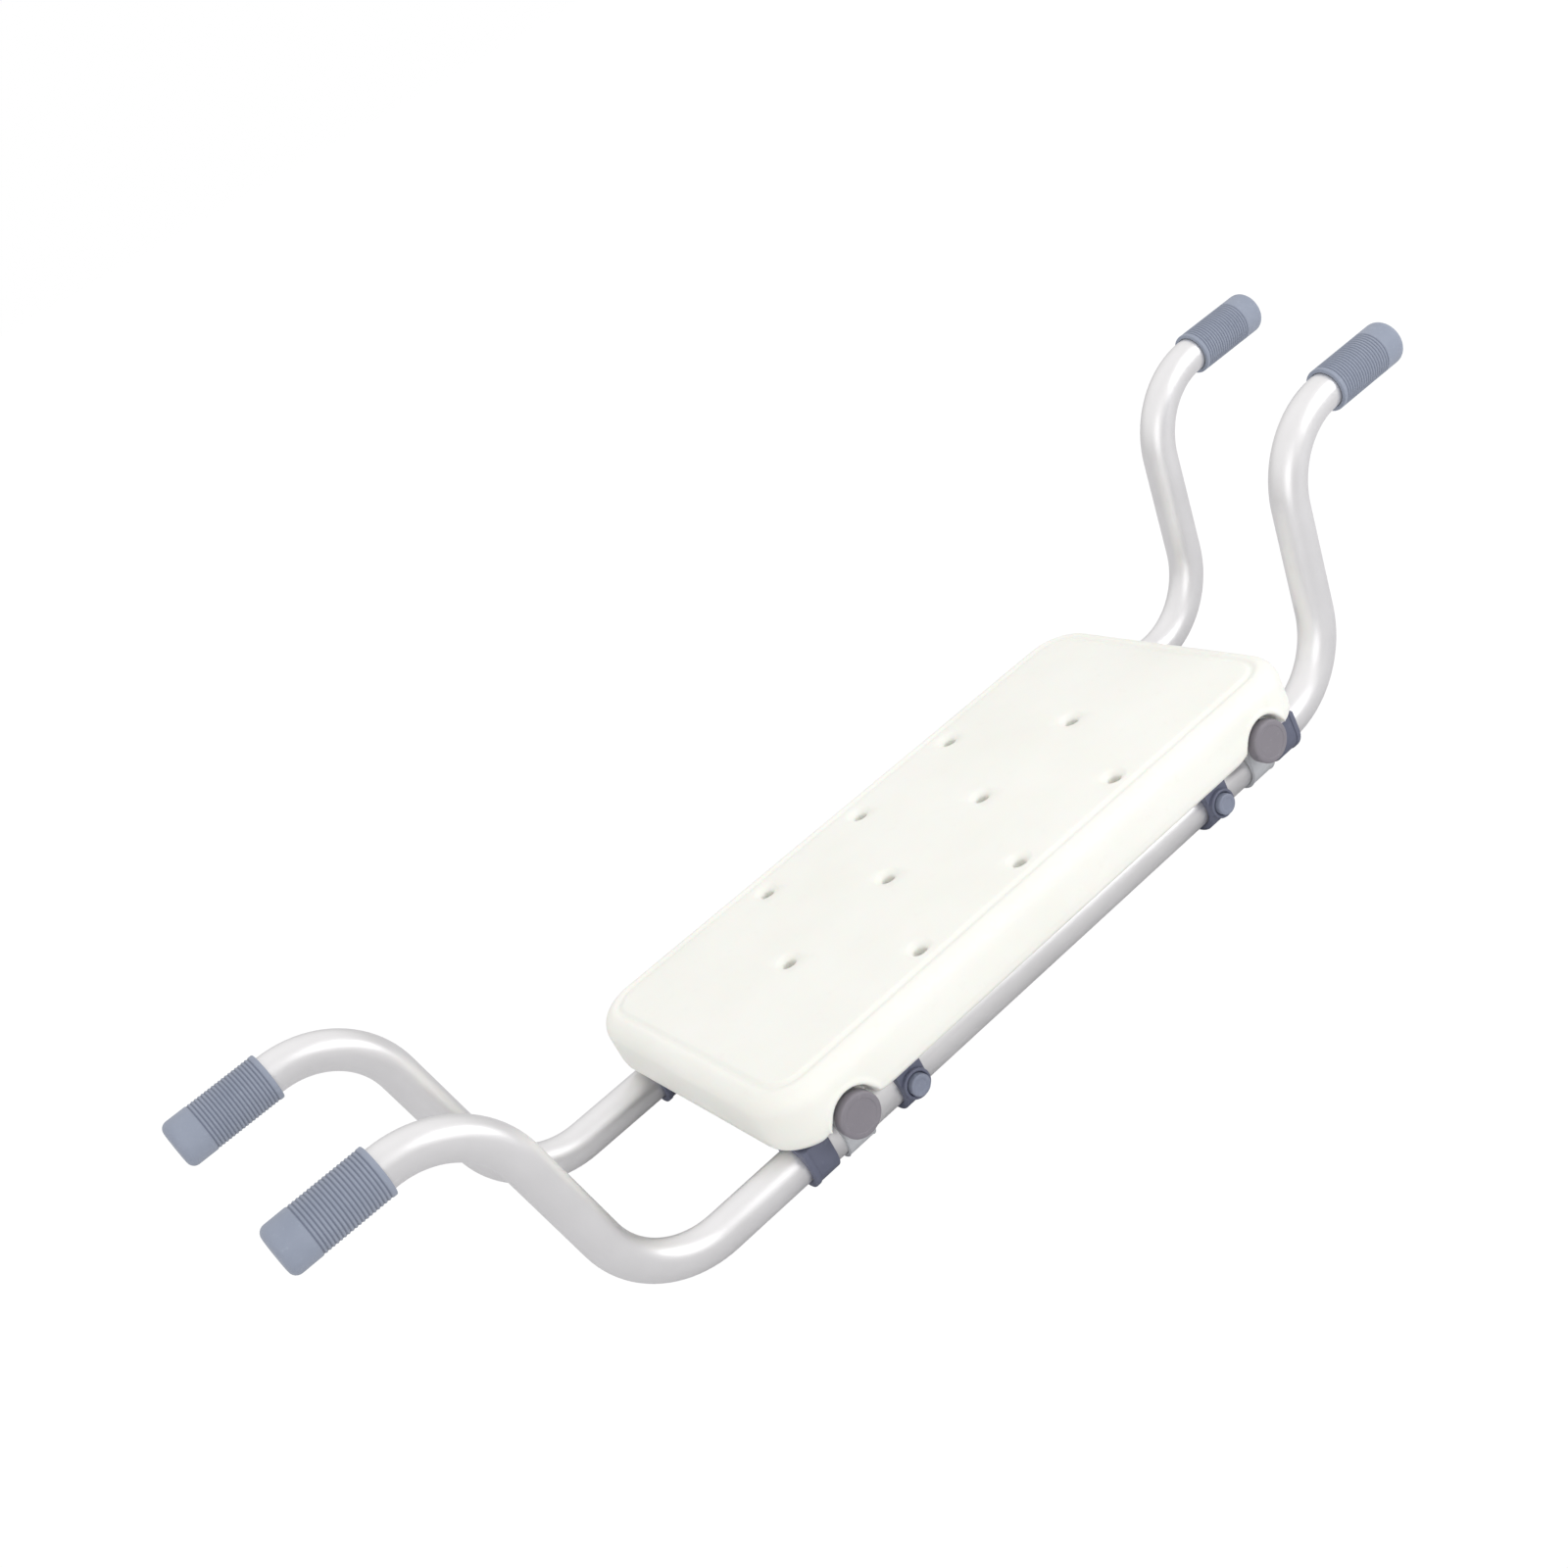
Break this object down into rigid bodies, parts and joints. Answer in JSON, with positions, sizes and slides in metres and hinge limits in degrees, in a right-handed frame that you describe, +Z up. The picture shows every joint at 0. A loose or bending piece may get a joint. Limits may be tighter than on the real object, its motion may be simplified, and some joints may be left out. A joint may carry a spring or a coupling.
{
  "type": "bath transfer bench",
  "caption": "Bench that hangs across a bath: a moulded seat with drain holes on two rails, with bent handle tubes that slide out and hook over the bath's rims.",
  "frame": {"origin": "on the ground under the middle of the seat, where the bench stands on the undersides of its button collars", "axes": "+X along the bench to the right-hand grips, +Y across the bench to the rear rail, +Z up"},
  "size_m": [0.8434, 0.212, 0.1826],
  "materials": {
    "seat_plastic": "fine satin moulded polyethylene",
    "aluminium": "satin anodised",
    "grip_rubber": "matt, finely ribbed",
    "slate_plastic": "fine matt moulding",
    "button_plastic": "satin moulding",
    "cap_plastic": "satin moulding",
    "saddle_plastic": "matt moulding",
    "spring_steel": "zinc plated"
  },
  "bodies": {
    "frame": {"seat_panel": "seat_plastic", "rail_front": "aluminium", "rail_rear": "aluminium", "cross_rod_left": "spring_steel", "cross_rod_right": "spring_steel", "end_collar_front_left": "slate_plastic", "end_collar_front_right": "slate_plastic", "end_collar_rear_left": "slate_plastic", "end_collar_rear_right": "slate_plastic", "button_collar_front_left": "slate_plastic", "button_collar_front_right": "slate_plastic", "button_collar_rear_left": "slate_plastic", "button_collar_rear_right": "slate_plastic", "button_spring_front_left": "spring_steel", "button_spring_front_right": "spring_steel", "button_spring_rear_left": "spring_steel", "button_spring_rear_right": "spring_steel", "rail_saddle_front_left": "saddle_plastic", "rail_saddle_front_right": "saddle_plastic", "rail_saddle_rear_left": "saddle_plastic", "rail_saddle_rear_right": "saddle_plastic", "cap_spacer_front_left": "saddle_plastic", "cap_spacer_front_right": "saddle_plastic", "cap_spacer_rear_left": "saddle_plastic", "cap_spacer_rear_right": "saddle_plastic", "round_cap_front_left": "cap_plastic", "round_cap_front_right": "cap_plastic", "round_cap_rear_left": "cap_plastic", "round_cap_rear_right": "cap_plastic"},
    "handle_front_left": {"handle_tube_front_left": "aluminium", "grip_front_left": "grip_rubber", "guide_bush_front_left": "slate_plastic"},
    "button_front_left": {"push_button_front_left": "button_plastic"},
    "handle_front_right": {"handle_tube_front_right": "aluminium", "grip_front_right": "grip_rubber", "guide_bush_front_right": "slate_plastic"},
    "button_front_right": {"push_button_front_right": "button_plastic"},
    "handle_rear_left": {"handle_tube_rear_left": "aluminium", "grip_rear_left": "grip_rubber", "guide_bush_rear_left": "slate_plastic"},
    "button_rear_left": {"push_button_rear_left": "button_plastic"},
    "handle_rear_right": {"handle_tube_rear_right": "aluminium", "grip_rear_right": "grip_rubber", "guide_bush_rear_right": "slate_plastic"},
    "button_rear_right": {"push_button_rear_right": "button_plastic"}
  },
  "joints": [
    {"name": "handle_slide_front_left", "type": "slide", "parent": "frame", "child": "handle_front_left", "axis": [-1, 0, 0], "range_m": [-0.05, 0.025]},
    {"name": "handle_slide_front_right", "type": "slide", "parent": "frame", "child": "handle_front_right", "axis": [1, 0, 0], "range_m": [0, 0.075]},
    {"name": "handle_slide_rear_left", "type": "slide", "parent": "frame", "child": "handle_rear_left", "axis": [-1, 0, 0], "range_m": [-0.05, 0.025]},
    {"name": "handle_slide_rear_right", "type": "slide", "parent": "frame", "child": "handle_rear_right", "axis": [1, 0, 0], "range_m": [-0.05, 0.025]},
    {"name": "button_press_front_left", "type": "slide", "parent": "frame", "child": "button_front_left", "axis": [0, 1, 0], "range_m": [0, 0.003], "stiffness_N_per_m": 400, "springref_m": -0.003},
    {"name": "button_press_front_right", "type": "slide", "parent": "frame", "child": "button_front_right", "axis": [0, 1, 0], "range_m": [0, 0.003], "stiffness_N_per_m": 400, "springref_m": -0.003},
    {"name": "button_press_rear_left", "type": "slide", "parent": "frame", "child": "button_rear_left", "axis": [0, -1, 0], "range_m": [0, 0.003], "stiffness_N_per_m": 400, "springref_m": -0.003},
    {"name": "button_press_rear_right", "type": "slide", "parent": "frame", "child": "button_rear_right", "axis": [0, -1, 0], "range_m": [0, 0.003], "stiffness_N_per_m": 400, "springref_m": -0.003}
  ]
}
